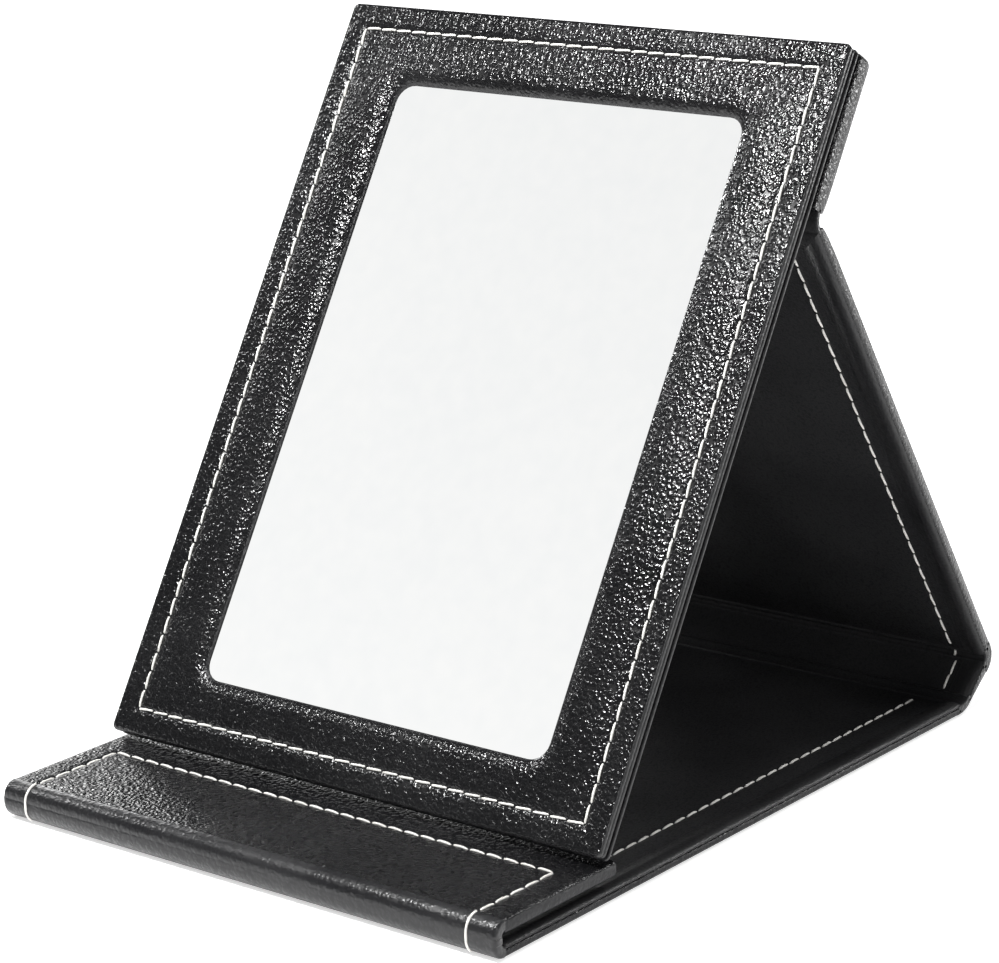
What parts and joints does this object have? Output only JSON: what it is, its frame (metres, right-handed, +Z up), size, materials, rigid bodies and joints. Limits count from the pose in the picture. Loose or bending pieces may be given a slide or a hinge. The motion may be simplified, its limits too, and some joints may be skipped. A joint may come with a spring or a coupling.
{
  "type": "folding makeup mirror",
  "caption": "Folding makeup mirror in a leather-clad folio: stitched frame and glass propped by a hinged rear leg, its foot on a fold-over flap of the base.",
  "frame": {"origin": "centre of the bounding box at the table surface, mirror standing open", "axes": "+X along the width to the user's right, +Y to the rear where the leg stands, +Z up from the table"},
  "size_m": [0.13, 0.1778, 0.1544],
  "materials": {
    "cover_leather": "black pebble-grained coated leather, semi-gloss",
    "lining_leather": "black fine-grained coated leather, satin",
    "greyboard": "plain grey bookbinding board",
    "thread": "off-white twisted thread",
    "mirror_glass": "silvered flat glass",
    "tape": "thin adhesive tape",
    "foam_pad": "black adhesive foam",
    "magnet": "nickel-plated discs",
    "keeper_steel": "thin steel strip"
  },
  "bodies": {
    "base": {"base_cover": "cover_leather", "base_board": "greyboard", "base_lining": "lining_leather", "base_stitching": "thread", "crease_base_front": "cover_leather", "crease_base_rear": "cover_leather"},
    "front_spine": {"front_spine_skin": "cover_leather", "front_spine_strip": "greyboard", "front_spine_lining": "lining_leather", "front_spine_stitching": "thread", "crease_flap": "cover_leather"},
    "flap": {"flap_cover": "cover_leather", "flap_board": "greyboard", "flap_lining": "lining_leather", "flap_stitching": "thread", "flap_magnets": "magnet"},
    "rear_spine": {"rear_spine_cover": "cover_leather", "rear_spine_board": "greyboard", "rear_spine_lining": "lining_leather", "rear_spine_stitching": "thread", "crease_leg_foot": "cover_leather"},
    "leg": {"leg_cover": "cover_leather", "leg_board": "greyboard", "leg_lining": "lining_leather", "leg_stitching": "thread", "crease_leg_top": "cover_leather"},
    "mirror": {"upper_back_cover": "cover_leather", "upper_back_board": "greyboard", "upper_back_lining": "lining_leather", "upper_back_stitching": "thread", "upper_back_keeper": "keeper_steel", "mounting_pad": "foam_pad", "mirror_back_cover": "cover_leather", "mirror_back_board": "greyboard", "glass_spacer": "greyboard", "glass_tape": "tape", "mirror_glass": "mirror_glass", "mirror_frame_board": "greyboard", "mirror_facing": "cover_leather", "mirror_stitching": "thread"}
  },
  "joints": [
    {"name": "rear_spine_fold", "type": "hinge", "parent": "base", "child": "rear_spine", "pos_m": [0, 0.07895, 0.0012], "axis": [-1, 0, 0], "range_deg": [0, 42.23], "deforming": ["crease_base_rear"]},
    {"name": "leg_fold", "type": "hinge", "parent": "rear_spine", "child": "leg", "pos_m": [0, 0.08895, 0.01027], "axis": [-1, 0, 0], "range_deg": [0, 80.14], "deforming": ["crease_leg_foot"]},
    {"name": "mirror_fold", "type": "hinge", "parent": "leg", "child": "mirror", "pos_m": [0, 0.01913, 0.12041], "axis": [1, 0, 0], "range_deg": [0, 63.67], "deforming": ["crease_leg_top"]},
    {"name": "front_spine_fold", "type": "hinge", "parent": "base", "child": "front_spine", "pos_m": [0, -0.08735, 0.0012], "axis": [1, 0, 0], "range_deg": [0, 90], "deforming": ["crease_base_front"]},
    {"name": "flap_fold", "type": "hinge", "parent": "front_spine", "child": "flap", "pos_m": [0, -0.08735, 0.0066], "axis": [1, 0, 0], "range_deg": [0, 90], "deforming": ["crease_flap"]}
  ],
  "couplings": [
    {"joint": "mirror_fold", "follows": "leg_fold", "ratio": 0.79447},
    {"joint": "front_spine_fold", "follows": "leg_fold", "ratio": 1.123},
    {"joint": "flap_fold", "follows": "leg_fold", "ratio": 1.123}
  ]
}
